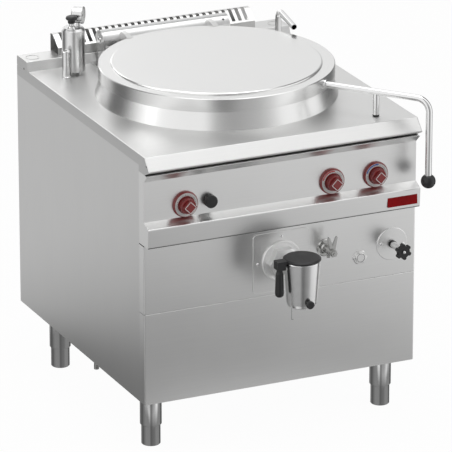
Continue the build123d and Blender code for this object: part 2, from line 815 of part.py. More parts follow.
def make_hinge_barrel():
    end = barrel_length / 2
    tube = along_x(barrel_radius, -end, end, hinge_y, hinge_z)
    tube -= along_x(barrel_radius - barrel_wall, -end + barrel_end, end - barrel_end, hinge_y, hinge_z)
    tube -= along_x(bar_radius + running_gap, -end - 1, end + 1, hinge_y, hinge_z)
    away = Pos(end - 12, hinge_y, hinge_z) * Rot(50, 0, 0)
    return tube - away * Pos(0, 0, barrel_radius) * Cylinder(3.2, 4 * barrel_wall)


def make_hinge_brackets():
    """Plates that stand on the worktop and hold the bar; their tops are as round as the barrel."""
    plates = []
    inner = barrel_length / 2 + joint_gap
    foot0 = ledge_front - 2 - bracket_foot
    foot1 = ledge_front - 2
    for side in (-1, 1):
        x0 = side * inner
        x1 = side * (inner + bracket_thickness)
        web = across([(foot0, top), (foot1, top), (foot1, ledge_top + 4), (hinge_y + barrel_radius, hinge_z),
                      (hinge_y - barrel_radius, hinge_z)], min(x0, x1), max(x0, x1))
        web += along_x(barrel_radius, min(x0, x1), max(x0, x1), hinge_y, hinge_z)
        far = side * (inner + bracket_thickness + bracket_flange)
        web += block(min(x0, far), max(x0, far), foot0, foot1, top, top + 5)
        web -= along_x(bar_radius + running_gap, min(x0, x1) - 1, max(x0, x1) + 1, hinge_y, hinge_z)
        plates.append(web)
    return Compound(plates)


def make_torsion_bar():
    end = barrel_length / 2 + bracket_thickness + 3
    bar = along_x(bar_radius, -end, end, hinge_y, hinge_z)
    return chamfer(bar.edges().filter_by(GeomType.CIRCLE), 1.5)


def handle_point(reach):
    away = lid_radius + reach
    return away * cos(radians(handle_angle)), away * sin(radians(handle_angle))


def make_lid_handle():
    x0, y0 = handle_point(-12)
    x1, y1 = handle_point(handle_reach)
    tube = pipe([(x0, y0, handle_z), (x1, y1, handle_z), (x1, y1, handle_z - ball_drop + ball_seat)],
                handle_bend, handle_radius)
    boss = Pos(0, 0, boss_length / 2) * Cylinder(handle_radius + 4, boss_length)
    boss = Plane(origin=(x0, y0, handle_z), z_dir=(x1 - x0, y1 - y0, 0)) * boss
    px, py = handle_point(post_reach)
    tube += upright(post_radius, top + joint_gap + post_foot, handle_z, px, py)
    return tube + boss - upright(lid_radius, lid_low - 1, lid_top + 1)


def make_handle_ball():
    x, y = handle_point(handle_reach)
    z = handle_z - ball_drop
    return Pos(x, y, z) * Sphere(ball_radius) - upright(ball_radius, z + ball_seat, z + 2 * ball_radius,
                                                        x, y)


def make_rest_foot():
    x, y = handle_point(post_reach)
    z = top + joint_gap
    r = post_foot_radius
    return turned([(0, z), (r - 1.5, z), (r, z + 1.5), (r, z + post_foot - 1), (r - 1, z + post_foot),
                   (0, z + post_foot)],
                  x, y)


def make_spout():
    path = [(spout_x, spout_y, top + 2), (spout_x, spout_y, top + spout_rise),
            (spout_x - spout_swerve, spout_y - spout_reach, top + spout_tip_rise)]
    return pipe(path, spout_bend, spout_radius, spout_bore)


def make_spout_socket():
    r = socket_radius
    bore = spout_radius + running_gap
    z1 = top + socket_height
    tail = top - socket_tail_length
    outline = [(4, tail), (socket_tail, tail), (socket_tail, top), (r, top), (r, z1 - 5), (r - 4, z1),
               (bore, z1),
               (bore, top + 1.5), (4, top + 1.5)]
    socket = turned(outline, spout_x, spout_y)
    flats = extrude(Pos(spout_x, spout_y, top) * RegularPolygon(r - 1, 6, major_radius=False), 9)
    shank = upright(socket_tail, tail, top, spout_x, spout_y)
    allowed = flats + upright(r, top + 9, z1, spout_x, spout_y) + shank
    return socket & allowed


def make_safety_body():
    z0 = top + safety_base
    z1 = top + safety_height
    r = safety_radius
    x, y = safety_x, safety_y
    body = turned([(0, z0), (r - 1, z0), (r, z0 + 1), (r, z1 - 6), (r - 5, z1), (0, z1)], x, y)
    body += upright(11, top, z0, x, y)
    for i in range(3):
        angle = radians(120 * i + 60)
        body += upright(4, top, z0, x + 22 * cos(angle), y + 22 * sin(angle))
    body += upright(gauge_stem, z1, top + gauge_rise - gauge_radius + 4, gauge_x, gauge_y)
    body -= gauge_place(0) * Cylinder(gauge_radius - 1, gauge_depth)
    neck = turned([(0, z1), (pull_base, z1), (pull_base * 0.65, z1 + pull_cone),
                   (pull_base / 2, z1 + pull_cone + 1),
                   (pull_base / 2, z1 + pull_height), (0, z1 + pull_height)], pull_x, pull_y)
    body += neck & upright(r, z1, z1 + pull_height, x, y)
    body += block(relief_x + relief_radius - 3, x - r + 9, y - 26, y - 20, top + 20, top + 34)
    body -= upright(relief_radius, top, top + relief_height, relief_x, relief_y)
    return body - upright(pull_stem + running_gap, z1 - 14, z1 + pull_height + 1, pull_x, pull_y)


def make_relief_tube():
    z1 = top + relief_height
    tube = turned([(0, top), (relief_radius + 1.5, top), (relief_radius + 1.5, top + 3),
                   (relief_radius, top + 4.5),
                   (relief_radius, z1 - 3), (relief_radius + 0.8, z1 - 2.5), (relief_radius - 0.5, z1),
                   (0, z1)],
                  relief_x, relief_y)
    return tube - upright(4.5, z1 - 22, z1 + 1, relief_x, relief_y)


def make_safety_knob():
    z = top + safety_height + pull_height + joint_gap
    r = pull_knob_radius
    knob = turned([(0, z), (r - 6, z), (r - 6, z + 8), (r - 2, z + 10), (r, z + 13), (r - 1.5, z + 18),
                   (r - 6, z + 20),
                   (0, z + 20)], pull_x, pull_y)
    return knob + upright(pull_stem, z - pull_height - 10, z, pull_x, pull_y)


def gauge_place(forward):
    turn = radians(gauge_angle)
    middle = Pos(gauge_x + forward * cos(turn), gauge_y + forward * sin(turn), top + gauge_rise)
    return middle * Rot(0, 0, gauge_angle) * Rot(0, 90, 0)


def make_gauge_case():
    """Round case with a bezel; the dial looks to the front right."""
    r = gauge_radius
    h = gauge_depth / 2
    points = [(0, -h), (r - 3, -h), (r - 1, -h + 2), (r - 1, h - 5), (r, h - 5), (r, h), (r - 3, h),
              (r - 3, h - 4),
              (0, h - 4)]
    shell = turned(points)
    shell -= upright(gauge_pin + running_gap, h - 8, h)
    return gauge_place(0) * shell


def make_gauge_needle():
    h = gauge_depth / 2 - 4 + joint_gap
    pin = upright(gauge_pin, h - 3.5, h + 1.6)
    hub = upright(3.2, h, h + 1.4)
    blade = extrude(Plane.XY.offset(h) * Polygon((2.6, -1.6), (2.6, 1.6), (-15, 0.5), (-15, -0.5),
                                                 align=None), 0.8)
    return gauge_place(0) * Rot(0, 0, 45) * (pin + hub + blade)


def make_tap_plate():
    shape = RectangleRounded(tap_plate_size, tap_plate_size, tap_plate_corner)
    plate = Pos(0, panel_y - sheet / 2, tap_z) * Rot(90, 0, 0) * extrude(shape, amount=sheet / 2, both=True)
    plate -= along_y(tap_pipe_radius + 2, panel_y - 2 * sheet, panel_y + 1, 0, tap_z)
    for x, z in tap_screws():
        plate -= along_y(screw_radius + joint_gap, panel_y - 2 * sheet, panel_y + 1, x, z)
    return plate


def tap_screws():
    r = tap_screw_circle
    return [(0, tap_z + r), (0, tap_z - r), (-r, tap_z), (r, tap_z)]


def screw(x, z, seat):
    head = turned_forward([(0, seat), (4.2, seat), (4.2, seat - 1.2), (2.6, seat - 3), (0, seat - 3.3)],
                          x, z)
    return head + along_y(screw_radius, seat, seat + sheet, x, z)


def make_front_screws():
    screws = [screw(x, z, panel_y - sheet) for x, z in tap_screws()]
    reach = drain_disc_radius - 12
    screws += [screw(drain_x + side * reach * 0.99, drain_z - side * 4,
                     panel_y - drain_disc) for side in (-1, 1)]
    return Compound(screws)


def make_tap_nut():
    """Round flange and hexagon that clamp the pan's outlet to the front."""
    y0 = panel_y - sheet
    r = tap_flange_radius
    flange = turned_forward([(0, y0), (r, y0), (r, y0 - 3.5), (r - 2, y0 - 5.5), (r - 5, y0 - 5.5),
                             (r - 8, y0 - 4),
                             (tap_nut_flats / 2, y0 - 4), (0, y0 - 4)], 0, tap_z)
    nut = hexagon(tap_nut_flats, y0 - 4, y0 - tap_nut_depth, 0, tap_z)
    cone = turned_forward([(0, y0), (tap_nut_flats, y0), (tap_nut_flats, y0 - tap_nut_depth + 14),
                           (tap_nut_flats / 2, y0 - tap_nut_depth), (0, y0 - tap_nut_depth)], 0, tap_z)
    return flange + (nut & cone) - along_y(tap_pipe_radius + joint_gap, panel_y - tap_nut_depth - 5,
                                           panel_y + 1, 0, tap_z)


def make_tap_body():
    """Conical tap: the inlet enters at the back, the plug turns inside, the outlet points down."""
    low = tap_floor
    r1 = tap_low_radius
    cone = turned([(0, low), (r1 - 10, low), (r1 - 3, low + 5), (r1, low + 13),
                   (tap_top_radius, tap_rim - 2),
                   (tap_top_radius - 1.5, tap_rim), (0, tap_rim)], 0, tap_y)
    neck = along_y(tap_pipe_radius, tap_y, panel_y - tap_nut_depth / 2 - joint_gap, 0, tap_z)
    body = cone + neck
    body -= along_y(tap_bore, tap_y, panel_y - 1, 0, tap_z)
    body -= upright(plug_radius + running_gap, low + tap_outlet_length, tap_rim + 1, 0, tap_y)
    return body - upright(tap_outlet, low - 1, low + tap_outlet_length + 1, 0, tap_y)


def make_tap_peg():
    """Black knob of the locking pin, low on the front of the tap."""
    z = tap_floor + 20
    y0 = tap_y - tap_low_radius + 6
    y1 = tap_y - tap_low_radius - 15
    peg = turned_forward([(0, y0), (peg_radius - 4, y0), (peg_radius - 4, y1 + 10), (peg_radius, y1 + 7),
                          (peg_radius, y1 + 2), (peg_radius - 2, y1), (0, y1)], 0, z)
    return peg - turned([(0, tap_floor), (tap_low_radius, tap_floor + 13), (tap_top_radius, tap_rim - 2),
                         (0, tap_rim - 2)],
                        0, tap_y)


def make_tap_plug():
    """Plug with an angled passage: from the side to the outlet once it has turned a quarter."""
    z0 = tap_floor + tap_outlet_length + joint_gap
    plug = upright(plug_radius, z0, tap_rim, 0, tap_y)
    plug -= upright(tap_bore, z0 - 1, tap_z + tap_bore * 0.7, 0, tap_y)
    return plug - along_x(tap_bore - 1, grip_side * (plug_radius + 1), -grip_side * tap_bore * 0.7,
                          tap_y, tap_z)


def make_tap_handle():
    """Black cap with a short arm, and the grip that hangs from it."""
    z0 = tap_rim + joint_gap
    z1 = z0 + cap_height
    cap = turned([(0, z0), (cap_radius - 2, z0), (cap_radius, z0 + 2), (cap_radius, z1 - 3),
                  (cap_radius - 4, z1),
                  (0, z1 + 1.5)], 0, tap_y)
    x1 = grip_side * (grip_reach + 11)
    arm = block(grip_side * cap_radius * 0.7, x1, tap_y - 13, tap_y + 13, z0, z1 - 1)
    cheek = block(grip_side * (cap_radius + 2), x1, tap_y - 13, tap_y + 13, z1 - 25, z0)
    cheek = fillet(cheek.edges().filter_by(Axis.Y), 2)
    high = z1 - 25
    x = grip_side * grip_reach
    r = grip_radius
    grip = turned([(0, high - grip_length - 3), (r - 5, high - grip_length - 3),
                   (r - 1, high - grip_length + 1),
                   (r, high - grip_length + 8), (r - 1.5, high - 12), (r - 4, high - 5), (r - 5, high),
                   (0, high)],
                  x, tap_y)
    return cap + arm + cheek + grip


def make_level_cock():
    """Test cock for the water level: flange, taper and a small spout that points down."""
    y0 = panel_y
    y1 = y0 - level_length
    r = level_flange
    taper = level_taper
    body = turned_forward([(0, y0), (r, y0), (r, y0 - 3), (r - 2.5, y0 - 5), (taper, y0 - 5),
                           (taper - 3, y0 - 9),
                           (taper - 4, y1), (0, y1)], level_x, level_z)
    body += along_y(level_pipe, y0, -sqrt(jacket_radius ** 2 - level_x ** 2) + 4, level_x, level_z)
    body += upright(6, level_z - 20, level_z, level_x, y1 + taper)
    body -= upright(3.5, level_z - 21, level_z - 4, level_x, y1 + taper)
    body -= upright(jacket_radius, level_z - 30, level_z + 30)
    return body - along_y(4 + running_gap, y1 - 1, y1 + 16, level_x, level_z)


def make_level_handle():
    """Butterfly handle with two wings, and the nut that holds it."""
    y0 = panel_y - level_length - joint_gap
    y1 = y0 - level_taper
    shape = along_y(11, y1, y0, level_x, level_z)
    for tilt in (-level_tilt, level_tilt):
        wing = Polygon((-6.5, 0), (6.5, 0), (3.2, level_wing - 4), (1, level_wing), (-1, level_wing),
                       (-3.2, level_wing - 4),
                       align=None)
        wing = extrude(wing, amount=2.2, both=True)
        shape += Pos(level_x, (y0 + y1) / 2, level_z) * Rot(0, tilt, 0) * Rot(90, 0, 0) * wing
    shape += along_y(4, y1, y0 + 14, level_x, level_z)
    shape += hexagon(15, y1, y1 - 7, level_x, level_z)
    return shape + along_y(4, y1 - 10, y1 - 7, level_x, level_z)


def make_fill_plug():
    y0 = panel_y
    r = fill_flats / 2
    ring = hexagon(fill_flats, y0, y0 - 5, fill_x, fill_z)
    ring = ring & turned_forward([(0, y0), (r + 2.5, y0), (r + 2.5, y0 - 3), (r - 0.5, y0 - 5),
                                  (0, y0 - 5)], fill_x, fill_z)
    plug = turned_forward([(0, y0 - 5), (r - 3.5, y0 - 5), (r - 3.5, y0 - 7), (r - 5, y0 - 8),
                           (0, y0 - 8)], fill_x, fill_z)
    tail = along_y(fill_pipe, y0, -sqrt(jacket_radius ** 2 - fill_x ** 2) + 10, fill_x, fill_z)
    return ring + plug + tail - upright(jacket_radius, fill_z - 2 * r, fill_z + 2 * r)


def make_drain_valve():
    y0 = panel_y
    r = drain_disc_radius
    y2 = y0 - drain_disc
    disc = turned_forward([(0, y0), (r, y0), (r, y0 - 1), (r - 1.5, y2), (0, y2)], drain_x, drain_z)
    for side in (-1, 1):
        disc -= along_y(screw_radius + joint_gap, y0 - 5, y0 + 1, drain_x + side * (r - 12) * 0.99,
                        drain_z - side * 4)
    y1 = y0 - drain_reach + star_depth + joint_gap
    tube = along_y(drain_tube, y1, y0, drain_x, drain_z)
    tail = along_y(drain_pipe, y0, y0 + drain_tail, drain_x, drain_z)
    down = upright(drain_pipe - 3, drain_z - drain_fall, drain_z, drain_x, y0 + drain_elbow)
    body = disc + tube + tail + down
    return body - along_y(drain_stem + running_gap, y1 - 1, y0 + 20, drain_x, drain_z)


def make_drain_knob():
    """Star knob with a chrome middle, on its stem."""
    y1 = panel_y - drain_reach
    y2 = y1 + star_depth
    knob = along_y(star_radius - 6, y1, y2, drain_x, drain_z)
    for i in range(star_lobes):
        angle = radians(360 * i / star_lobes + star_start)
        reach = star_radius - 5.5
        knob += along_y(5.5, y1 + 0.5, y2 - 0.5, drain_x + reach * cos(angle), drain_z + reach * sin(angle))
    knob += along_y(drain_stem, y1 - 2, y1, drain_x, drain_z)
    return knob + along_y(drain_stem, y2, panel_y + 18, drain_x, drain_z)


def make_knob_rings():
    """Bezels that stand on the panel round the three controls."""
    rings = []
    r = knob_ring_radius
    bore = knob_hub_radius + 2 * joint_gap
    y0 = panel_y
    y1 = y0 - knob_ring_depth
    for x in (gas_knob_x, hot_knob_x, cold_knob_x):
        rings.append(turned_forward([(bore, y0), (r, y0), (r, y1 + 5), (r - 1.5, y1 + 1), (r - 3, y1),
                                     (bore, y1)],
                                    x, knob_z))
    return Compound(rings)


def make_knob(x):
    """Control knob: a round hub, and a square nose standing on its corner."""
    y0 = panel_y - joint_gap
    y1 = panel_y - knob_hub_depth
    h = knob_hub_radius
    knob = turned_forward([(0, y0), (h, y0), (h - 1, y1 + 2), (h - 3, y1), (0, y1)], x, knob_z)
    y2 = panel_y - knob_depth
    nose = Pos(x, (y1 + y2) / 2 + 5, knob_z) * Rot(0, 45, 0) * Box(knob_nose, y1 - y2 + 10, knob_nose)
    nose = chamfer(nose.edges().group_by(Axis.Y)[0], 1.5)
    return knob + nose + along_y(spindle_radius, y0, panel_y + sheet + spindle_length, x, knob_z)


def make_igniter_bush():
    y0 = panel_y
    bush = along_y(igniter_bush_radius, y0 - 7, y0, igniter_x, knob_z)
    bush += along_y(igniter_stem + 3.5, y0, y0 + 30, igniter_x, knob_z)
    return bush - along_y(igniter_stem + running_gap, y0 - 8, y0 + 31, igniter_x, knob_z)


def make_igniter_button():
    y0 = panel_y - igniter_travel - 1
    y1 = y0 - 14
    r = igniter_radius
    inner = igniter_bush_radius + joint_gap
    cup = turned_forward([(inner, y0), (r, y0), (r, y1 + 3), (r - 2.5, y1), (0, y1 - 0.5), (0, y1 + 5),
                          (inner, y1 + 5)],
                         igniter_x, knob_z)
    return cup + along_y(igniter_stem, y1 + 4, panel_y + 20, igniter_x, knob_z)


parts = {
    "base_frame": make_base_frame,
    "leg_sleeves": make_leg_sleeves,
    "side_panel_left": lambda: make_side_panel(-1),
    "side_panel_right": lambda: make_side_panel(1),
    "rear_panel": make_rear_panel,
    "front_panel_upper": make_front_panel_upper,
    "front_panel_lower": make_front_panel_lower,
    "control_panel": make_control_panel,
    "worktop": make_worktop,
    "rear_ledge": make_rear_ledge,
    "flue_grille": make_flue_grille,
    "flue_duct": make_flue_duct,
    "collar": make_collar,
    "pan": make_pan,
    "pan_outlet": make_pan_outlet,
    "steam_jacket": make_steam_jacket,
    "insulation": make_insulation,
    "combustion_chamber": make_combustion_chamber,
    "burner": make_burner,
    "valve_bodies": make_valve_bodies,
    "gas_pipe": make_gas_pipe,
    "water_pipes": make_water_pipes,
    "lid_shell": make_lid_shell,
    "lid_liner": make_lid_liner,
    "lid_arms": make_lid_arms,
    "hinge_barrel": make_hinge_barrel,
    "hinge_brackets": make_hinge_brackets,
    "torsion_bar": make_torsion_bar,
    "lid_handle": make_lid_handle,
    "handle_ball": make_handle_ball,
    "rest_foot": make_rest_foot,
    "spout": make_spout,
    "spout_socket": make_spout_socket,
    "safety_body": make_safety_body,
    "relief_tube": make_relief_tube,
    "safety_knob": make_safety_knob,
    "gauge_case": make_gauge_case,
    "gauge_needle": make_gauge_needle,
    "tap_plate": make_tap_plate,
    "front_screws": make_front_screws,
    "tap_nut": make_tap_nut,
    "tap_body": make_tap_body,
    "tap_peg": make_tap_peg,
    "tap_plug": make_tap_plug,
    "tap_handle": make_tap_handle,
    "level_cock": make_level_cock,
    "level_handle": make_level_handle,
    "fill_plug": make_fill_plug,
    "drain_valve": make_drain_valve,
    "drain_knob": make_drain_knob,
    "knob_rings": make_knob_rings,
    "gas_knob": lambda: make_knob(gas_knob_x),
    "hot_water_knob": lambda: make_knob(hot_knob_x),
    "cold_water_knob": lambda: make_knob(cold_knob_x),
    "igniter_bush": make_igniter_bush,
    "igniter_button": make_igniter_button,
}
for side, x in (("left", -leg_x), ("right", leg_x)):
    for end, y in (("front", feet_front_y), ("rear", feet_rear_y)):
        parts[f"foot_{end}_{side}"] = lambda x=x, y=y: make_foot(x, y)

os.makedirs("parts", exist_ok=True)
to_feet = Pos(0, -(feet_front_y + feet_rear_y) / 2, 0)
for name, make in parts.items():
    export_step(to_feet * make(), f"parts/{name}.step")
    print(name)
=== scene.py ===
import bmesh
import bpy
from math import cos, pi, radians, sin
from mathutils import Matrix, Vector


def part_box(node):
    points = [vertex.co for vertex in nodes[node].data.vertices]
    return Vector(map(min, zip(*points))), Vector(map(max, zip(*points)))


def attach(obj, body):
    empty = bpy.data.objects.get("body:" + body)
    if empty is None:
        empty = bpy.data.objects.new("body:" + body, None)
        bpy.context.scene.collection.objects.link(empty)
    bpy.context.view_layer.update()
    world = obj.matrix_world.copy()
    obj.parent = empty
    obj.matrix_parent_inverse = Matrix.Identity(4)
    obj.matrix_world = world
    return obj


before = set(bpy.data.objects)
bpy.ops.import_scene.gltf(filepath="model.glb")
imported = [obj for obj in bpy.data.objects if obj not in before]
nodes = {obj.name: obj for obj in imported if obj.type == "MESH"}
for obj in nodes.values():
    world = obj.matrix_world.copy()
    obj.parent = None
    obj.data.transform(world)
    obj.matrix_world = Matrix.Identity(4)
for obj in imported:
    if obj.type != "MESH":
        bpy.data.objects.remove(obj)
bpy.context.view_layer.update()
print("frame loaded:", len(nodes), "nodes")


class Wire:  # a socket in a material's tree; expressions on it add Math nodes
    def __init__(self, tree, socket):
        self.tree = tree
        self.socket = socket

    def calc(self, operation, *values):
        return self.tree.add("Math", {"operation": operation}, values)

    def __add__(self, other): return self.calc("ADD", self, other)
    def __radd__(self, other): return self.calc("ADD", other, self)
    def __sub__(self, other): return self.calc("SUBTRACT", self, other)
    def __rsub__(self, other): return self.calc("SUBTRACT", other, self)
    def __mul__(self, other): return self.calc("MULTIPLY", self, other)
    def __rmul__(self, other): return self.calc("MULTIPLY", other, self)
    def __truediv__(self, other): return self.calc("DIVIDE", self, other)


class Tree:  # the nodes of one material or world
    def __init__(self, holder):
        holder.use_nodes = True
        self.nodes = holder.node_tree.nodes
        self.links = holder.node_tree.links
        self.nodes.clear()

    def add(self, kind, settings=None, values=(), output=0):
        node = self.nodes.new("ShaderNode" + kind)
        for key, value in (settings or {}).items():
            if key == "stops":
                self.fillRamp(node.color_ramp, value)
            else:
                setattr(node, key, value)
        pairs = values.items() if isinstance(values, dict) else enumerate(values)
        for key, value in pairs:
            if isinstance(value, Wire):
                self.links.new(value.socket, node.inputs[key])
            else:
                node.inputs[key].default_value = value
        return Wire(self, node.outputs[output]) if node.outputs else None

    def fillRamp(self, ramp, stops):
        while len(ramp.elements) < len(stops):
            ramp.elements.new(0.5)
        for element, (place, tone) in zip(ramp.elements, stops):
            element.position = place
            element.color = (tone, tone, tone, 1)

    def close(self, shader, kind="OutputMaterial"):
        self.add(kind, values={"Surface": shader})


def newMaterial(name):
    material = bpy.data.materials.new(name)
    tree = Tree(material)
    return material, tree


def objectPlace(tree):
    return tree.add("TexCoord", output="Object")


def stretched(tree, scale, turn=(0, 0, 0), middle=(0, 0, 0)):  # object coordinates for a texture
    place = {"Vector": objectPlace(tree), "Location": middle, "Rotation": turn, "Scale": scale}
    return tree.add("Mapping", values=place)


def even(scale):
    return (scale, scale, scale)


def axis(tree, vector, name):
    return tree.add("SeparateXYZ", values=(vector,), output=name)


def noise(tree, vector, detail=2.0, roughness=0.5):
    values = {"Vector": vector, "Scale": 1.0, "Detail": detail, "Roughness": roughness}
    return tree.add("TexNoise", values=values)


def tinted(tree, factor, dark, light):  # sockets 6 and 7 are the two colours, output 2 is their mix
    return tree.add("Mix", {"data_type": "RGBA"}, {0: factor, 6: (*dark, 1), 7: (*light, 1)}, 2)


def eased(tree, value, start, end, low, high, shape="LINEAR"):
    return tree.add("MapRange", {"interpolation_type": shape}, (value, start, end, low, high))


def bumped(tree, strength, depth, height):
    return tree.add("Bump", values={"Strength": strength, "Distance": depth, "Height": height})


def shade(rgb, by):
    return tuple(min(1.0, c * by) for c in rgb)


# brushed sheet: the grain runs along one axis, or round an upright axis
steelLooks = {
    "satinSide": {"tone": (0.82, 0.82, 0.815), "grain": "z", "rough": 0.36, "spread": 0.035},
    "satinFront": {"tone": (0.84, 0.84, 0.835), "grain": "x", "rough": 0.3, "spread": 0.03},
    "satinTop": {"tone": (0.7, 0.7, 0.695), "grain": "x", "rough": 0.4, "spread": 0.04},
    "satinCast": {"tone": (0.88, 0.88, 0.875), "grain": "y", "rough": 0.46, "spread": 0.03},
    "turnedSteel": {"tone": (0.8, 0.8, 0.795), "grain": "ring", "rough": 0.24, "spread": 0.018},
    # a pale, rough steel that paints highlights: the strips on the folded seam and brow, and the rim round
    # the tap plate
    "paintedHighlightSteel": {"tone": (0.96, 0.96, 0.955), "grain": "x", "rough": 0.75, "spread": 0.02},
    "innerSteel": {"tone": (0.6, 0.6, 0.59), "grain": "ring", "rough": 0.3, "spread": 0.05},
}
brushing = {"along": 5.0, "across": 420.0, "clouds": 3.0, "wipes": (11.0, 11.0, 5.0),
            "wipeTurn": (0.3, 0.2, 0.5), "lineShare": 0.5, "cloudShare": 0.3, "wipeShare": 0.2,
            "toneSpread": 2.2, "cloudRough": 0.05, "lineRough": 1.5, "depth": 0.0003}


def steelSheet(name, look):
    material, tree = newMaterial(name)
    along, across = brushing["along"], brushing["across"]
    if look["grain"] == "ring":
        x, y, z = (axis(tree, objectPlace(tree), letter) for letter in "XYZ")
        radius = x.calc("SQRT", x * x + y * y)
        vector = tree.add("CombineXYZ", values=(radius * across, z * across, 0.0))
    else:
        vector = stretched(tree, [along if letter == look["grain"] else across for letter in "xyz"])
    lines = noise(tree, vector, 3.0, 0.6)
    clouds = noise(tree, stretched(tree, even(brushing["clouds"])), 3.0, 0.55)
    wipes = noise(tree, stretched(tree, brushing["wipes"], brushing["wipeTurn"]))
    mixed = lines * brushing["lineShare"] + clouds * brushing["cloudShare"] + wipes * brushing["wipeShare"]
    spread = look["spread"]
    dark, light = 1 - brushing["toneSpread"] * spread, 1 + brushing["toneSpread"] * spread
    colour = tinted(tree, mixed, shade(look["tone"], dark), shade(look["tone"], light))
    rough = look["rough"] + (clouds - 0.5) * brushing["cloudRough"]
    rough = rough + (lines - 0.5) * brushing["lineRough"] * spread
    tree.close(tree.add("BsdfPrincipled", values={
        "Base Color": colour, "Metallic": 1.0, "Roughness": rough,
        "Normal": bumped(tree, spread, brushing["depth"], lines)}))
    return material


steel = {name: steelSheet(name, look) for name, look in steelLooks.items()}

polishedLooks = {
    "polishedSteel": {"tone": (0.82, 0.82, 0.82), "rough": 0.09, "lines": (40.0, 40.0, 700.0)},
    "turnedChrome": {"tone": (0.86, 0.86, 0.86), "rough": 0.1, "lines": (25.0, 25.0, 300.0)},
    "castChrome": {"tone": (0.82, 0.82, 0.82), "rough": 0.22, "lines": (60.0, 60.0, 60.0)},
    "drawnTube": {"tone": (0.74, 0.74, 0.74), "rough": 0.24, "lines": (60.0, 60.0, 500.0)},
    # painted shade: a darker copy of chrome, for the level cock and its handle
    "shadedChrome": {"tone": (0.52, 0.52, 0.51), "rough": 0.16, "lines": (80.0, 80.0, 80.0)},
}
polishing = {"haze": 9.0, "dark": 0.9, "light": 1.06, "hazeRough": 0.1, "lineRough": 0.05, "bump": 0.08,
             "depth": 0.0005}


def polished(name, look):
    material, tree = newMaterial(name)
    lines = noise(tree, stretched(tree, look["lines"]))
    haze = noise(tree, stretched(tree, even(polishing["haze"])), 3.0, 0.6)
    dark, light = shade(look["tone"], polishing["dark"]), shade(look["tone"], polishing["light"])
    colour = tinted(tree, haze * 0.6 + lines * 0.4, dark, light)
    rough = look["rough"] + (haze - 0.5) * polishing["hazeRough"] + (lines - 0.5) * polishing["lineRough"]
    tree.close(tree.add("BsdfPrincipled", values={
        "Base Color": colour, "Metallic": 1.0, "Roughness": rough,
        "Normal": bumped(tree, polishing["bump"], polishing["depth"], haze * 0.7 + lines * 0.3)}))
    return material


chrome = {name: polished(name, look) for name, look in polishedLooks.items()}

mouldedLooks = {
    "blackPlastic": {"tone": (0.014, 0.014, 0.015), "rough": 0.42, "grain": 900.0, "bump": 0.12, "coat": 0.0},
    "redPlastic": {"tone": (0.23, 0.022, 0.022), "rough": 0.34, "grain": 700.0, "bump": 0.08, "coat": 0.2},
    "paleRing": {"tone": (0.62, 0.62, 0.61), "rough": 0.4, "grain": 600.0, "bump": 0.08, "coat": 0.0},
    "rubber": {"tone": (0.022, 0.022, 0.022), "rough": 0.75, "grain": 420.0, "bump": 0.3, "coat": 0.0},
    "whiteEnamel": {"tone": (0.82, 0.82, 0.8), "rough": 0.35, "grain": 300.0, "bump": 0.04, "coat": 0.2},
    "redEnamel": {"tone": (0.5, 0.01, 0.02), "rough": 0.3, "grain": 500.0, "bump": 0.05, "coat": 0.2},
    "plateRed": {"tone": (0.27, 0.0, 0.002), "rough": 0.6, "grain": 500.0, "bump": 0.05, "coat": 0.0,
                 "shine": 0.2},
    "blueEnamel": {"tone": (0.03, 0.09, 0.4), "rough": 0.35, "grain": 500.0, "bump": 0.05, "coat": 0.1},
    "inkBlack": {"tone": (0.02, 0.02, 0.02), "rough": 0.5, "grain": 500.0, "bump": 0.03, "coat": 0.0},
    # this grey paints the shadow under the band's foot, and also colours the dark lines under the tap and the
    # ring on the fill plug
    "darkLineGrey": {"tone": (0.1, 0.1, 0.1), "rough": 0.6, "grain": 500.0, "bump": 0.03, "coat": 0.0},
    "framePaint": {"tone": (0.3, 0.31, 0.32), "rough": 0.5, "grain": 260.0, "bump": 0.15, "coat": 0.0},
}
moulding = {"wear": 35.0, "dark": 0.8, "light": 1.25, "wearRough": 0.18, "grainRough": 0.08, "depth": 0.0003,
            "shine": 0.5}


def moulded(name, look):
    material, tree = newMaterial(name)
    grain = noise(tree, stretched(tree, even(look["grain"])), 2.0, 0.6)
    wear = noise(tree, stretched(tree, even(moulding["wear"])), 4.0, 0.6)
    dark, light = shade(look["tone"], moulding["dark"]), shade(look["tone"], moulding["light"])
    rough = look["rough"] + (wear - 0.5) * moulding["wearRough"] + (grain - 0.5) * moulding["grainRough"]
    tree.close(tree.add("BsdfPrincipled", values={
        "Base Color": tinted(tree, wear * 0.7 + grain * 0.3, dark, light), "Roughness": rough,
        "Coat Weight": look["coat"], "Normal": bumped(tree, look["bump"], moulding["depth"], grain),
        "Specular IOR Level": look.get("shine", moulding["shine"])}))
    return material


plastic = {name: moulded(name, look) for name, look in mouldedLooks.items()}

ironLook = {"grain": 260.0, "dark": (0.02, 0.02, 0.021), "light": (0.075, 0.07, 0.066), "metal": 0.6,
            "rough": 0.55, "grainRough": 0.2, "bump": 0.5, "depth": 0.001}
brassLook = {"grain": (700.0, 40.0, 700.0), "tarnish": 45.0, "dark": (0.42, 0.29, 0.11),
             "light": (0.75, 0.56, 0.26), "rough": 0.28, "tarnishRough": 0.15, "bump": 0.15, "depth": 0.0004}
woolLook = {"fibre": (160.0, 160.0, 420.0), "fibreTurn": (0.2, 0.4, 0.1), "tufts": 22.0,
            "dark": (0.3, 0.27, 0.19), "light": (0.62, 0.58, 0.45), "rough": 0.95, "bump": 0.7,
            "depth": 0.004}
glassLook = {"smear": 60.0, "dark": (0.9, 0.92, 0.92), "light": (0.98, 1.0, 1.0), "rough": 0.02,
             "smearRough": 0.06, "alpha": 0.12, "bend": 1.45}


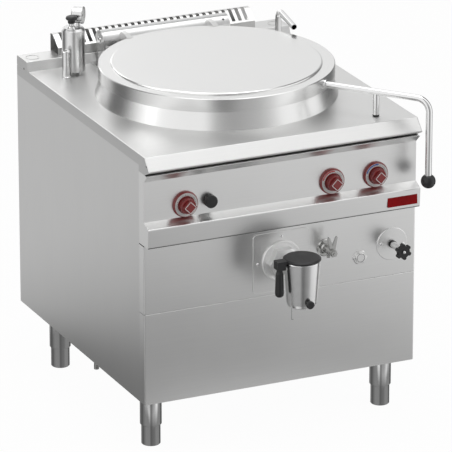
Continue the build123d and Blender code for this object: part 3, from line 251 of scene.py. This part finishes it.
def castIron():
    material, tree = newMaterial("castIron")
    grain = noise(tree, stretched(tree, even(ironLook["grain"])), 5.0, 0.7)
    tree.close(tree.add("BsdfPrincipled", values={
        "Base Color": tinted(tree, grain, ironLook["dark"], ironLook["light"]), "Metallic": ironLook["metal"],
        "Roughness": ironLook["rough"] + grain * ironLook["grainRough"],
        "Normal": bumped(tree, ironLook["bump"], ironLook["depth"], grain)}))
    return material


def turnedBrass():
    material, tree = newMaterial("turnedBrass")
    grain = noise(tree, stretched(tree, brassLook["grain"]), 3.0, 0.6)
    tarnish = noise(tree, stretched(tree, even(brassLook["tarnish"])), 4.0, 0.6)
    tree.close(tree.add("BsdfPrincipled", values={
        "Base Color": tinted(tree, tarnish, brassLook["dark"], brassLook["light"]), "Metallic": 1.0,
        "Roughness": brassLook["rough"] + tarnish * brassLook["tarnishRough"],
        "Normal": bumped(tree, brassLook["bump"], brassLook["depth"], grain)}))
    return material


def mineralWool():
    material, tree = newMaterial("mineralWool")
    fibre = noise(tree, stretched(tree, woolLook["fibre"], woolLook["fibreTurn"]), 6.0, 0.7)
    tufts = noise(tree, stretched(tree, even(woolLook["tufts"])), 3.0, 0.6)
    tree.close(tree.add("BsdfPrincipled", values={
        "Base Color": tinted(tree, fibre * 0.5 + tufts * 0.5, woolLook["dark"], woolLook["light"]),
        "Roughness": woolLook["rough"],
        "Normal": bumped(tree, woolLook["bump"], woolLook["depth"], fibre * 0.6 + tufts * 0.4)}))
    return material


def clearGlass():
    material, tree = newMaterial("clearGlass")
    smear = noise(tree, stretched(tree, even(glassLook["smear"])), 3.0, 0.6)
    tree.close(tree.add("BsdfPrincipled", values={
        "Base Color": tinted(tree, smear, glassLook["dark"], glassLook["light"]), "Alpha": glassLook["alpha"],
        "Roughness": glassLook["rough"] + smear * glassLook["smearRough"], "IOR": glassLook["bend"]}))
    return material


iron, brass, wool, glass = castIron(), turnedBrass(), mineralWool(), clearGlass()
print("materials made")

finishOf = {
    "satinSide": "side_panel_left side_panel_right rear_panel",
    "satinFront": "front_panel_upper front_panel_lower control_panel tap_plate fill_plug",
    "satinTop": "worktop rear_ledge flue_grille",
    "turnedSteel": "lid_shell collar lid_arms",
    "innerSteel": "pan pan_outlet lid_liner steam_jacket water_pipes",
    "polishedSteel": "lid_handle torsion_bar spout spout_socket front_screws igniter_bush",
    "shadedChrome": "level_handle level_cock",
    "turnedChrome": "leg_sleeves foot_front_left foot_front_right foot_rear_left foot_rear_right",
    "drawnTube": "safety_body relief_tube gauge_case hinge_barrel hinge_brackets",
    "castChrome": "tap_body tap_plug",
    "satinCast": "tap_nut drain_valve",
    "blackPlastic": "handle_ball safety_knob tap_peg tap_handle drain_knob igniter_button",
    "redPlastic": "gas_knob hot_water_knob cold_water_knob knob_rings",
    "rubber": "rest_foot",
    "framePaint": "base_frame flue_duct combustion_chamber gas_pipe",
    "inkBlack": "gauge_needle",
}
allFinishes = {**steel, **chrome, **plastic}


def dress(node, material):
    slots = nodes[node].data.materials
    slots.clear()
    slots.append(material)


for finish, names in finishOf.items():
    for node in names.split():
        dress(node, allFinishes[finish])
dress("burner", iron)
dress("valve_bodies", brass)
dress("insulation", wool)
print("CAD nodes dressed")

pieceMesh = {"weld": 1e-6, "splitAngle": 35}


def finished(bm, name, material, body, smooth=True):  # makes a bmesh a piece that rides on a body
    bmesh.ops.remove_doubles(bm, verts=bm.verts, dist=pieceMesh["weld"])
    bmesh.ops.recalc_face_normals(bm, faces=bm.faces)
    mesh = bpy.data.meshes.new(name)
    bm.to_mesh(mesh)
    bm.free()
    for face in mesh.polygons:
        face.use_smooth = smooth
    mesh.materials.append(material)
    piece = bpy.data.objects.new(name, mesh)
    bpy.context.scene.collection.objects.link(piece)
    if smooth:
        edges = piece.modifiers.new("edges", "EDGE_SPLIT")
        edges.split_angle = radians(pieceMesh["splitAngle"])
    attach(piece, body)


def block(bm, matrix, size):
    bmesh.ops.create_cube(bm, size=1.0, matrix=matrix @ Matrix.Diagonal((*size, 1)))


def bar(bm, size, place, turn=None, corner=0.0):  # a block whose edges are rounded by the corner
    bmesh.ops.create_cube(bm, size=1.0)
    bmesh.ops.scale(bm, vec=size, verts=bm.verts)
    if corner:
        bmesh.ops.bevel(bm, geom=list(bm.edges), offset=corner, offset_type="OFFSET", segments=2, profile=0.5,
                        affect="EDGES", clamp_overlap=True, material=-1)
    move = Matrix.Translation(place) @ (turn.to_4x4() if turn else Matrix.Identity(4))
    bmesh.ops.transform(bm, matrix=move, verts=bm.verts)


def raised(bm, faces, height):  # gives a flat sheet its thickness, along +Z
    grown = bmesh.ops.extrude_face_region(bm, geom=faces)["geom"]
    lifted = [v for v in grown if isinstance(v, bmesh.types.BMVert)]
    bmesh.ops.translate(bm, vec=(0, 0, height), verts=lifted)
    return lifted


def disc(bm, radius, thick, matrix, segments=48, inner=0.0):  # a flat round or ring, facing the matrix's +Z
    ring = bmesh.ops.create_circle(bm, cap_ends=not inner, segments=segments, radius=radius)["verts"]
    faces = list(ring[0].link_faces)
    if inner:
        ring += bmesh.ops.create_circle(bm, cap_ends=False, segments=segments, radius=inner)["verts"]
        faces = bmesh.ops.bridge_loops(bm, edges=[e for e in bm.edges if e.verts[0] in ring])["faces"]
    bmesh.ops.transform(bm, matrix=matrix, verts=ring + raised(bm, faces, thick))


def facing(place, towards):  # a matrix whose +Z looks towards a direction, with its +Y up
    z = Vector(towards).normalized()
    up = Vector((0, 0, 1)) if abs(z.z) < 0.9 else Vector((0, 1, 0))
    x = up.cross(z).normalized()
    y = z.cross(x)
    turn = Matrix((x, y, z)).transposed().to_4x4()
    return Matrix.Translation(place) @ turn


towardsOperator = (0, -1, 0)


def frontOf(node):  # the middle of a node's front
    low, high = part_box(node)
    return Vector(((low.x + high.x) / 2, low.y, (low.z + high.z) / 2))


# gauge face
gauge = {"way": -37, "radius": 0.0205, "depth": 0.03, "recess": 0.004, "dialThick": 0.0002,
         "glassThick": 0.0006, "glassRise": 0.0034, "marks": 28, "markFrom": -45, "markSweep": 270,
         "everyLong": 3, "markLong": 0.0034, "markShort": 0.002, "markInset": 0.0022, "markWide": 0.0006,
         "markThick": 0.0002}
low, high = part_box("gauge_case")
gaugeWay = Vector((cos(radians(gauge["way"])), sin(radians(gauge["way"])), 0))
gaugeSeat = (low + high) / 2 + gaugeWay * (gauge["depth"] / 2 - gauge["recess"])


def gaugeFace():
    bm = bmesh.new()
    disc(bm, gauge["radius"], gauge["dialThick"], facing(gaugeSeat, gaugeWay))
    finished(bm, "gauge_dial", plastic["whiteEnamel"], "cabinet")
    bm = bmesh.new()
    seat = facing(gaugeSeat + gaugeWay * gauge["dialThick"], gaugeWay)
    for i in range(gauge["marks"]):
        angle = radians(gauge["markFrom"] + gauge["markSweep"] * i / (gauge["marks"] - 1))
        long = gauge["markShort"] if i % gauge["everyLong"] else gauge["markLong"]
        middle = gauge["radius"] - gauge["markInset"] - long / 2
        place = seat @ Matrix.Rotation(angle, 4, "Z") @ Matrix.Translation((middle, 0, 0))
        block(bm, place, (long, gauge["markWide"], gauge["markThick"]))
    finished(bm, "gauge_marks", plastic["inkBlack"], "cabinet", smooth=False)
    bm = bmesh.new()
    seat = facing(gaugeSeat + gaugeWay * gauge["glassRise"], gaugeWay)
    disc(bm, gauge["radius"], gauge["glassThick"], seat)
    finished(bm, "gauge_glass", glass, "cabinet")


gaugeFace()
print("gauge made")

# control knobs: each stands in a red bezel with a pale dial ring
knobs = {
    "gas_control": {"node": "gas_knob", "arc": None},
    "hot_water_control": {"node": "hot_water_knob", "arc": "redEnamel"},
    "cold_water_control": {"node": "cold_water_knob", "arc": "blueEnamel"},
}
knobHighlightLines = {"square": 0.0228, "line": 0.0014, "thick": 0.0004, "proud": 0.0001}
dialRing = {"inner": 0.0248, "outer": 0.0326, "thick": 0.0003, "segments": 64}
dialTicks = {"count": 24, "from": -120, "sweep": 240, "everyLong": 6, "long": 0.003, "short": 0.0016,
             "inset": 0.0012, "wide": 0.001, "thick": 0.0002}
dialArc = {"from": 80, "to": 165, "radius": 0.0302, "wide": 0.003, "steps": 16, "lift": 0.0001,
           "thick": 0.0002}


def knobEdgeHighlight(body, look):  # painted highlight: a white square outline on the knob's nose, where light catches the grip's bevelled edges
    bm = bmesh.new()
    place = frontOf(look["node"]) - Vector((0, knobHighlightLines["proud"], 0))
    seat = facing(place, towardsOperator) @ Matrix.Rotation(radians(45), 4, "Z")
    square, line = knobHighlightLines["square"], knobHighlightLines["line"]
    for i in range(4):
        side = seat @ Matrix.Rotation(pi / 2 * i, 4, "Z") @ Matrix.Translation((0, square / 2, 0))
        block(bm, side, (square + line, line, knobHighlightLines["thick"]))
    finished(bm, body + "_print", plastic["whiteEnamel"], body, smooth=False)


def knobDial(name, look):
    middle = frontOf(look["node"])
    middle.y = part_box("knob_rings")[0].y
    seat = facing(middle, towardsOperator)
    lifted = seat @ Matrix.Translation((0, 0, dialRing["thick"]))
    bm = bmesh.new()
    disc(bm, dialRing["outer"], dialRing["thick"], seat, dialRing["segments"], dialRing["inner"])
    finished(bm, name + "_dial", plastic["paleRing"], "cabinet")
    bm = bmesh.new()
    for i in range(dialTicks["count"]):
        angle = radians(dialTicks["from"] + dialTicks["sweep"] * i / (dialTicks["count"] - 1))
        long = dialTicks["short"] if i % dialTicks["everyLong"] else dialTicks["long"]
        out = dialRing["inner"] + dialTicks["inset"] + long / 2
        place = lifted @ Matrix.Rotation(angle, 4, "Z") @ Matrix.Translation((0, out, 0))
        block(bm, place, (dialTicks["wide"], long, dialTicks["thick"]))
    finished(bm, name + "_ticks", plastic["inkBlack"], "cabinet", smooth=False)
    if look["arc"]:
        colourArc(name + "_arc", plastic[look["arc"]], lifted)


def colourArc(name, material, seat):  # a flat arc: an edge spun about the dial's middle
    bm = bmesh.new()
    half = dialArc["wide"] / 2
    ends = [bm.verts.new((dialArc["radius"] + shift, 0, dialArc["lift"])) for shift in (-half, half)]
    edge = bm.edges.new(ends)
    start = Matrix.Rotation(radians(dialArc["from"]), 3, "Z")
    bmesh.ops.rotate(bm, verts=ends, cent=(0, 0, 0), matrix=start)
    bmesh.ops.spin(bm, geom=ends + [edge], cent=(0, 0, 0), axis=(0, 0, 1), steps=dialArc["steps"],
                   angle=radians(dialArc["to"] - dialArc["from"]))
    raised(bm, list(bm.faces), dialArc["thick"])
    bmesh.ops.transform(bm, matrix=seat, verts=bm.verts)
    finished(bm, name, material, "cabinet")


for body, look in knobs.items():
    knobEdgeHighlight(body, look)
    knobDial(body, look)
print("knobs marked")

# red plate on the leaning band
plate = {"left": 0.302, "right": 0.391, "low": 0.6125, "high": 0.6405, "thick": 0.0008, "proud": 0.0004,
         "lean": 3.2}


def redPlate():
    bm = bmesh.new()
    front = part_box("control_panel")[0].y
    width, height = plate["right"] - plate["left"], plate["high"] - plate["low"]
    place = ((plate["left"] + plate["right"]) / 2, front + plate["proud"], (plate["low"] + plate["high"]) / 2)
    bar(bm, (width, plate["thick"], height), place, Matrix.Rotation(radians(-plate["lean"]), 3, "X"))
    finished(bm, "red_plate", plastic["plateRed"], "cabinet", smooth=False)


redPlate()
print("plate made")

# drain valve: a dark seat round the tube and a chrome dome in the star knob; fill plug: a raised ring
drain = {"seat": 0.0105, "tube": 0.0092, "long": 0.007, "disc": 0.0025, "dome": 0.0042, "rise": 0.0022,
         "segments": 40, "domeSegments": 24}
plug = {"outer": 0.0118, "inner": 0.0108, "proud": 0.0003, "segments": 48}


def drainTrim():
    nose = frontOf("drain_knob")
    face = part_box("tap_plate")[1].y - drain["disc"]
    seat = facing((nose.x, face, nose.z), towardsOperator)
    bm = bmesh.new()
    disc(bm, drain["seat"], drain["long"], seat, drain["segments"], drain["tube"])
    finished(bm, "drain_seat", plastic["rubber"], "cabinet")
    bm = bmesh.new()
    bmesh.ops.create_uvsphere(bm, u_segments=drain["domeSegments"], v_segments=drain["domeSegments"] // 2,
                              radius=drain["dome"])
    squash = Matrix.Translation(nose) @ Matrix.Diagonal((1, drain["rise"] / drain["dome"], 1, 1))
    bmesh.ops.transform(bm, matrix=squash, verts=bm.verts)
    finished(bm, "drain_dome", chrome["polishedSteel"], "drain_control")


def plugRing():
    bm = bmesh.new()
    seat = facing(frontOf("fill_plug"), towardsOperator)
    disc(bm, plug["outer"], plug["proud"], seat, plug["segments"], plug["inner"])
    finished(bm, "plug_ring", plastic["darkLineGrey"], "cabinet")


drainTrim()
plugRing()
print("drain and plug trimmed")

# fine lines of the front: painted highlights, pale strips where the folds of the seam and the brow catch the
# light; a painted shadow, a dark strip under the band's foot; and dark lines under the tap
frontLines = {
    "seam_painted_highlight": {"size": (0.794, 0.003, 0.002), "place": (0, -0.3989, 0.4058), "corner": 0.0005},
    "brow_painted_highlight": {"size": (0.796, 0.0016, 0.0016), "place": (0, -0.4208, 0.8018), "corner": 0.0004},
    # painted shadow: a dark strip where the band's foot shades the panel below
    "band_painted_shadow": {"size": (0.798, 0.0016, 0.001), "place": (0, -0.4258, 0.6023), "corner": 0.0003},
    "line_under_tap": {"size": (0.0008, 0.0004, 0.08), "place": (0.032, -0.4, 0.3655), "corner": 0.0},
    "hook_under_tap": {"size": (0.006, 0.0004, 0.0008), "place": (0.0346, -0.4, 0.3255), "corner": 0.0},
}
# painted highlights: these strips take the pale steel in place of light caught on the folds
paintedHighlightLines = ("seam_painted_highlight", "brow_painted_highlight")
plateHighlight = {"corner": 0.012, "steps": 6, "wide": 0.0011, "tall": 0.0005, "inset": 0.0002}
sideHoles = {"radius": 0.0028, "thick": 0.00005, "segments": 20,
             "places": [(-0.419, 0.829), (0.412, 0.851)]}


def frontLine(name, look):
    bm = bmesh.new()
    bar(bm, look["size"], look["place"], corner=look["corner"])
    bright = name in paintedHighlightLines
    material = steel["paintedHighlightSteel"] if bright else plastic["darkLineGrey"]
    finished(bm, name, material, "cabinet")


def paintTapPlateHighlight():  # painted highlight: a thin pale strip round the plate's edge, where the edge catches the light
    low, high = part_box("tap_plate")
    half = (high.x - low.x) / 2 - plateHighlight["inset"]
    bm = bmesh.new()
    corners = bmesh.ops.create_grid(bm, x_segments=1, y_segments=1, size=half)["verts"]
    bmesh.ops.bevel(bm, geom=corners, offset=plateHighlight["corner"], offset_type="OFFSET",
                    segments=plateHighlight["steps"], profile=0.5, affect="VERTICES", material=-1)
    bmesh.ops.inset_region(bm, faces=list(bm.faces), thickness=plateHighlight["wide"], use_boundary=True,
                           use_even_offset=True)
    inner = max(bm.faces, key=lambda face: face.calc_area())
    bmesh.ops.delete(bm, geom=[inner], context="FACES_ONLY")
    raised(bm, list(bm.faces), plateHighlight["tall"])
    bmesh.ops.transform(bm, matrix=facing(frontOf("tap_plate"), towardsOperator), verts=bm.verts)
    finished(bm, "tap_plate_painted_highlight", steel["paintedHighlightSteel"], "cabinet")


# painted shade: thin black discs on the left side stand for the dark inside of two holes
def paintSideHoleShade():
    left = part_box("side_panel_left")[0].x
    bm = bmesh.new()
    for y, z in sideHoles["places"]:
        seat = facing((left, y, z), (-1, 0, 0))
        disc(bm, sideHoles["radius"], sideHoles["thick"], seat, sideHoles["segments"])
    finished(bm, "side_holes_painted_shade", plastic["inkBlack"], "cabinet")


for name, look in frontLines.items():
    frontLine(name, look)
paintTapPlateHighlight()
paintSideHoleShade()
print("front lines and side holes made")

# stage: the camera sees a white floor and backdrop, and metal sees through the floor,
# but for a grey shade near the feet
stage = {"half": 20.0, "drop": 0.0002, "tone": 0.85, "mottle": 2.0, "mottleTone": 0.03, "seenWhite": 0.97}
floorShade = {"tone": 0.1, "middle": (0.45, 0.65, 0), "from": 0.5, "to": 2.1, "most": 0.7,
              "clearFrom": 0.6, "clearTo": 0.85, "underFrom": 0.7, "underTo": 1.05, "underMost": 0.85,
              "frontFrom": -0.6, "frontTo": -0.46}
white = (1, 1, 1, 1)


def rayKinds(tree):  # whether a ray is the camera's, and whether it comes off metal or through glass
    seen = tree.add("LightPath", output="Is Camera Ray")
    glossy = tree.add("LightPath", output="Is Glossy Ray")
    return seen, glossy + tree.add("LightPath", output="Is Transmission Ray")


def distance(tree, vector):
    return tree.add("VectorMath", {"operation": "LENGTH"}, (vector,), "Value")


def shadeOnFloor(tree):  # how grey a mirror shows the floor: off the front left corner and under the cabinet
    look = floorShade
    away = distance(tree, objectPlace(tree))
    fromCorner = distance(tree, stretched(tree, (1, 1, 1), middle=look["middle"]))
    near = eased(tree, fromCorner, look["from"], look["to"], look["most"], 0.0, "SMOOTHSTEP")
    outside = eased(tree, away, look["clearFrom"], look["clearTo"], 0.0, 1.0)
    y = axis(tree, objectPlace(tree), "Y")
    behind = eased(tree, y, look["frontFrom"], look["frontTo"], 0.0, 1.0)
    under = eased(tree, away, look["underFrom"], look["underTo"], look["underMost"], 0.0)
    return near.calc("MAXIMUM", near * outside, under * behind)


def floorMaterial():
    material, tree = newMaterial("floorWhite")
    seen, mirrored = rayKinds(tree)
    mottle = noise(tree, stretched(tree, even(stage["mottle"])))
    tone = tinted(tree, mottle, even(stage["tone"]), even(stage["tone"] + stage["mottleTone"]))
    matt = tree.add("BsdfDiffuse", values={"Color": tone})
    lit = tree.add("Emission", values={"Color": white, "Strength": 1.0})
    plain = tree.add("MixShader", values=(seen * stage["seenWhite"], matt, lit))
    grey = tree.add("Emission", values={"Color": (*even(floorShade["tone"]), 1), "Strength": 1.0})
    clear = tree.add("BsdfTransparent")
    below = tree.add("MixShader", values=(shadeOnFloor(tree), clear, grey))
    tree.close(tree.add("MixShader", values=(mirrored, plain, below)))
    return material


def layFloor():
    bm = bmesh.new()
    bmesh.ops.create_grid(bm, x_segments=1, y_segments=1, size=stage["half"])
    mesh = bpy.data.meshes.new("floor")
    bm.to_mesh(mesh)
    bm.free()
    mesh.materials.append(floorMaterial())
    floor = bpy.data.objects.new("floor", mesh)
    floor.location.z = -stage["drop"]
    bpy.context.scene.collection.objects.link(floor)


# the studio as metal sees it: pale walls and dark gaps round the compass, in turns, and soft boxes above
room = [(0.0, 0.95), (0.01, 0.2), (0.09, 0.16), (0.14, 0.5), (0.2, 0.8), (0.325, 0.85), (0.355, 0.15),
        (0.41, 0.15), (0.47, 0.75), (0.53, 1.15), (0.65, 1.1), (0.68, 0.28), (0.712, 0.28), (0.745, 0.5),
        (0.8, 0.6), (0.835, 0.85), (0.86, 1.2), (0.98, 1.2)]
softBoxes = [
    {"way": (0.25, 0.9, 0.4), "from": 0.72, "to": 0.97, "strength": 0.3},
    {"way": (0.0, 0.0, 1.0), "from": 0.75, "to": 0.95, "strength": 0.3},
    {"way": (-0.41, -0.9, 0.5), "from": 0.92, "to": 0.99, "strength": 0.28},
    {"way": (0.39, -0.3, 0.87), "from": 0.9, "to": 0.99, "strength": 0.22},
]
worldLight = {"soft": 0.34, "walls": 0.9, "seen": 1.0}


def lightWorld():
    world = bpy.data.worlds.new("studio")
    bpy.context.scene.world = world
    tree = Tree(world)
    seen, mirrored = rayKinds(tree)
    way = tree.add("TexCoord")
    x, y = axis(tree, way, "X"), axis(tree, way, "Y")
    turn = y.calc("ARCTAN2", y, x) / (2 * pi)
    around = tree.add("ValToRGB", {"stops": room}, (turn.calc("FRACT", turn + 1.0),))
    boxes = 0.0
    for look in softBoxes:
        aim = Vector(look["way"]).normalized()
        nearness = tree.add("VectorMath", {"operation": "DOT_PRODUCT"}, (way, aim), "Value")
        boxes = eased(tree, nearness, look["from"], look["to"], 0.0, look["strength"], "SMOOTHSTEP") + boxes
    soft = tree.add("Background", values={"Color": white, "Strength": worldLight["soft"]})
    walls = tree.add("Background", values={"Color": around, "Strength": worldLight["walls"]})
    above = tree.add("Background", values={"Color": white, "Strength": boxes})
    studio = tree.add("AddShader", values=(walls, above))
    backdrop = tree.add("Background", values={"Color": white, "Strength": worldLight["seen"]})
    lit = tree.add("MixShader", values=(mirrored, soft, studio))
    tree.close(tree.add("MixShader", values=(seen, lit, backdrop)), "OutputWorld")


# the key lamp isn't mirrored, because it draws a bright blotch on the worktop
lamps = {
    "key": {"place": (3.4, -3.6, 3.6), "size": 2.2, "power": 70.0, "mirrored": False},
    "fill": {"place": (-4.0, 0.6, 2.8), "size": 2.6, "power": 35.0, "mirrored": True},
    "top": {"place": (0.2, 0.3, 4.6), "size": 3.0, "power": 45.0, "mirrored": True},
    "back": {"place": (0.0, 4.4, 2.6), "size": 2.4, "power": 18.0, "mirrored": True},
}
lampTarget = Vector((0, 0, 0.55))


def hangLamps():
    for name, look in lamps.items():
        light = bpy.data.lights.new(name, "AREA")
        light.size = look["size"]
        light.energy = look["power"]
        lamp = bpy.data.objects.new(name, light)
        lamp.location = look["place"]
        lamp.visible_glossy = look["mirrored"]
        lamp.rotation_euler = (lampTarget - lamp.location).to_track_quat("-Z", "Y").to_euler()
        bpy.context.scene.collection.objects.link(lamp)


view = {"place": (-5.19628, -11.29007, 5.00589), "down": 20.070, "turn": -24.810, "lens": 384.3,
        "sensor": 36.0, "reach": 100.0}


def setCamera():
    lens = bpy.data.cameras.new("photographer")
    lens.lens = view["lens"]
    lens.sensor_width = view["sensor"]
    lens.clip_end = view["reach"]
    camera = bpy.data.objects.new("photographer", lens)
    camera.location = view["place"]
    camera.rotation_euler = (radians(90 - view["down"]), 0, radians(view["turn"]))
    bpy.context.scene.collection.objects.link(camera)
    bpy.context.scene.camera = camera


layFloor()
lightWorld()
hangLamps()
setCamera()
bpy.context.scene.view_settings.view_transform = "Standard"
print("stage set")

bpy.context.view_layer.update()
